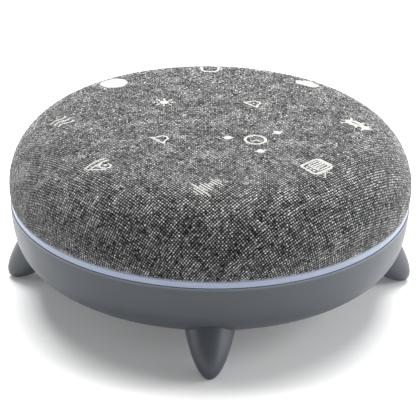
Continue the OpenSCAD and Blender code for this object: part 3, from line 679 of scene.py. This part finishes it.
def mark_surf(x, y):
    """Breaking wave over level water."""
    back = line(x, y, [(-5.3, 0.3), (-3.4, 1.6), (-0.4, 2.9), (1.6, 3.9), (3.2, 3.9)], 0.36)
    face = line(x, y, [(-3.2, -0.6), (-1.4, 0.0), (0.3, 0.7), (1.8, 1.9), (3.8, 2.6)], 0.34)
    curl = line(x, y, arc(1.8, -1.2, 2.0, 120, 290), 0.34)
    spray = [line(x, y, [(3.1, -0.3), (3.6, -2.0), (2.6, -3.2)], 0.4), disc(x, y, 1.8, -1.0, 0.7)]
    water = line(x, y, [(-4.5, -0.7), (-3.0, -1.8), (-1.2, -2.9), (0.9, -4.0)], 0.32)
    return np.minimum.reduce([back, face, curl, water, *spray])


def mark_sun(x, y):
    """Disc with eight rays."""
    ray = lambda a: [(r * math.cos(a), r * math.sin(a)) for r in (2.5, 3.9)]
    rays = [line(x, y, ray(k * math.pi / 4), 0.34) for k in range(8)]
    return np.minimum.reduce([disc(x, y, 0, 0, 1.7), *rays])


def mark_bell(x, y):
    """Outline of a bell over its clapper."""
    side = [(3.5, -2.0), (2.3, -0.6), (1.6, 1.8)]
    shell = [(-px, py) for px, py in side] + [(0, 2.7)] + side[::-1] + [(-3.5, -2.0)]
    return np.minimum(line(x, y, shell, 0.36), disc(x, y, 0, -1.9, 0.7))


def mark_clock(x, y):
    """Round face with two hands."""
    hands = line(x, y, [(0, 2.1), (0, 0), (2.1, 0)], 0.34)
    return np.minimum(outline(disc(x, y, 0, 0, 3.75), 0.48), hands)


def mark_dot(x, y):
    """Dot drawn out to two points."""
    return np.minimum(disc(x, y, 0, 0, 1.45), line(x, y, [(-2.0, 0), (2.0, 0)], 0.3))


# The print lies a little off the dome's centre and a little turned, as cloth is laid by hand
PRINT_SHIFT_MM = (-0.9, -0.9)
PRINT_TURN_DEG = -0.52
OUTER_MM = 54
INNER_MM = 17 * math.sqrt(2)
# Each mark's name, shape, radius in millimetres and azimuth on the dome's plan, and the turn of its upright direction
MARKS = [
    ("sound", mark_sound, OUTER_MM, 270, 45),
    ("television", mark_set, 53, 315.8, 225),
    ("insect", mark_insect, 54.7, 1.3, -38),
    ("cloud", mark_cloud, 55.2, 46.8, -32),
    ("cup", mark_cup, OUTER_MM, 90, 0),
    ("moon", mark_moon, 53.2, 134.3, 0),
    ("wind", mark_wind, OUTER_MM, 180, 45),
    ("surf", mark_surf, OUTER_MM, 225, 20),
    ("sun", mark_sun, INNER_MM, 135, 0),
    ("bell_a", mark_bell, INNER_MM, 45, -45),
    ("bell_b", mark_bell, INNER_MM, 225, -45),
    ("clock", mark_clock, INNER_MM, 315, -135),
    ("dot_a", mark_dot, 17, 294, 0),
    ("dot_b", mark_dot, 27, 338, 30),
    ("dot_c", mark_dot, 32.5, 305, 20),
]


def inside_part(cell):
    """The corners of one grid cell's part inside the shape: grid corners, and places where the outline crosses."""
    kept = []
    for k in range(4):
        (a, da), (b, db) = cell[k], cell[(k + 1) % 4]
        if da < 0:
            kept.append((a, a, 0.0))
        if (da < 0) != (db < 0):
            kept.append((a, b, da / (da - db)))
    return kept


def make_mark(name, shape, radius, azimuth, turn, material):
    """A thin film of ink, cut along the shape's outline, that follows the weave under it."""
    steps = int(2 * MARK_REACH_MM / INK_STEP_MM) + 1
    ticks = np.linspace(-MARK_REACH_MM, MARK_REACH_MM, steps)
    x, y = np.meshgrid(ticks, ticks, indexing="ij")
    d = shape(x, y)
    verts, index, faces = [], {}, []

    def corner(a, b, t):
        key = (a, b) if a <= b else (b, a)
        if key not in index:
            index[key] = len(verts)
            ax, ay, bx, by = x[a], y[a], x[b], y[b]
            verts.append((ax + (bx - ax) * t, ay + (by - ay) * t))
        return index[key]

    near = np.minimum.reduce([d[:-1, :-1], d[1:, :-1], d[1:, 1:], d[:-1, 1:]]) < 0
    for i, j in zip(*np.nonzero(near)):
        ring = [(i, j), (i + 1, j), (i + 1, j + 1), (i, j + 1)]
        part = inside_part([(c, d[c]) for c in ring])
        if len(part) > 2:
            faces.append([corner(*p) for p in part])
    local = np.array(verts)
    tilt = math.radians(turn + PRINT_TURN_DEG)
    turned = local @ np.array([[math.cos(tilt), math.sin(tilt)], [-math.sin(tilt), math.cos(tilt)]])
    a = math.radians(azimuth + PRINT_TURN_DEG)
    px = PRINT_SHIFT_MM[0] + radius * math.cos(a) + turned[:, 0]
    py = PRINT_SHIFT_MM[1] + radius * math.sin(a) + turned[:, 1]
    u, v = (px + py) / math.sqrt(2), (py - px) / math.sqrt(2)
    top, low = lay(u, v, INK_MM), lay(u, v, -INK_MM)
    count = len(local)
    edges = dict.fromkeys((p, q) for f in faces for p, q in zip(f, f[1:] + f[:1]))
    walls = [[q, p, p + count, q + count] for p, q in edges if (q, p) not in edges]
    under = [[k + count for k in reversed(f)] for f in faces]
    places = np.tile(np.stack([u, v], 1), (2, 1))
    ob = mesh_object("print_" + name, np.concatenate([top, low]), faces + walls + under, material, places)
    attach(ob, "housing")


# ---------- rings of the driver and the radiator, cut into sectors ----

FLEX_SECTORS = 8
WELD_DISTANCE = 2e-6
SHARP_ANGLE = math.radians(35)
# Each ring's node, the body its inner edge moves with, and the radii in millimetres between which it flexes.
FLEX_RINGS = [
    ("spider", "cone_assembly", 8.4, 15.6),
    ("surround", "cone_assembly", 22.6, 25.2),
    ("radiator_surround", "radiator", 21.4, 24.7),
]


def sector_of(node, start, end):
    """The closed wedge of a ring's mesh between two azimuths."""
    bm = bmesh.new()
    bm.from_mesh(node.data)
    bmesh.ops.remove_doubles(bm, verts=bm.verts, dist=WELD_DISTANCE)
    for azimuth, side in ((start, 1), (end, -1)):
        normal = Vector((-math.sin(azimuth), math.cos(azimuth), 0)) * side
        whole = bm.verts[:] + bm.edges[:] + bm.faces[:]
        cut = bmesh.ops.bisect_plane(
            bm, geom=whole, dist=1e-7, plane_co=(0, 0, 0), plane_no=normal, clear_inner=True
        )
        rim = [e for e in cut["geom_cut"] if isinstance(e, bmesh.types.BMEdge) and e.is_boundary]
        bmesh.ops.holes_fill(bm, edges=rim, sides=0)
    bmesh.ops.recalc_face_normals(bm, faces=bm.faces)
    mesh = bpy.data.meshes.new(node.name + "_sector")
    bm.to_mesh(mesh)
    bm.free()
    mesh.polygons.foreach_set("use_smooth", [True] * len(mesh.polygons))
    mesh.set_sharp_from_angle(angle=SHARP_ANGLE)
    return mesh


def make_flex_ring(name, body, inner_mm, outer_mm):
    """A ring in sectors: closed wedges of its mesh that stand in place of the hidden ring."""
    node = frame["nodes"][name]
    step = 2 * math.pi / FLEX_SECTORS
    for k in range(FLEX_SECTORS):
        ob = link(f"{name}_sector_{k}", sector_of(node, k * step, (k + 1) * step))
        ob.data.materials.append(node.material_slots[0].material)
        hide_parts(name)
        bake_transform(ob)


make_camera()
make_studio()
paint_frame()
make_cloth()
for ring in FLEX_RINGS:
    make_flex_ring(*ring)
ink = ink_look()
for mark in MARKS:
    make_mark(*mark, ink)
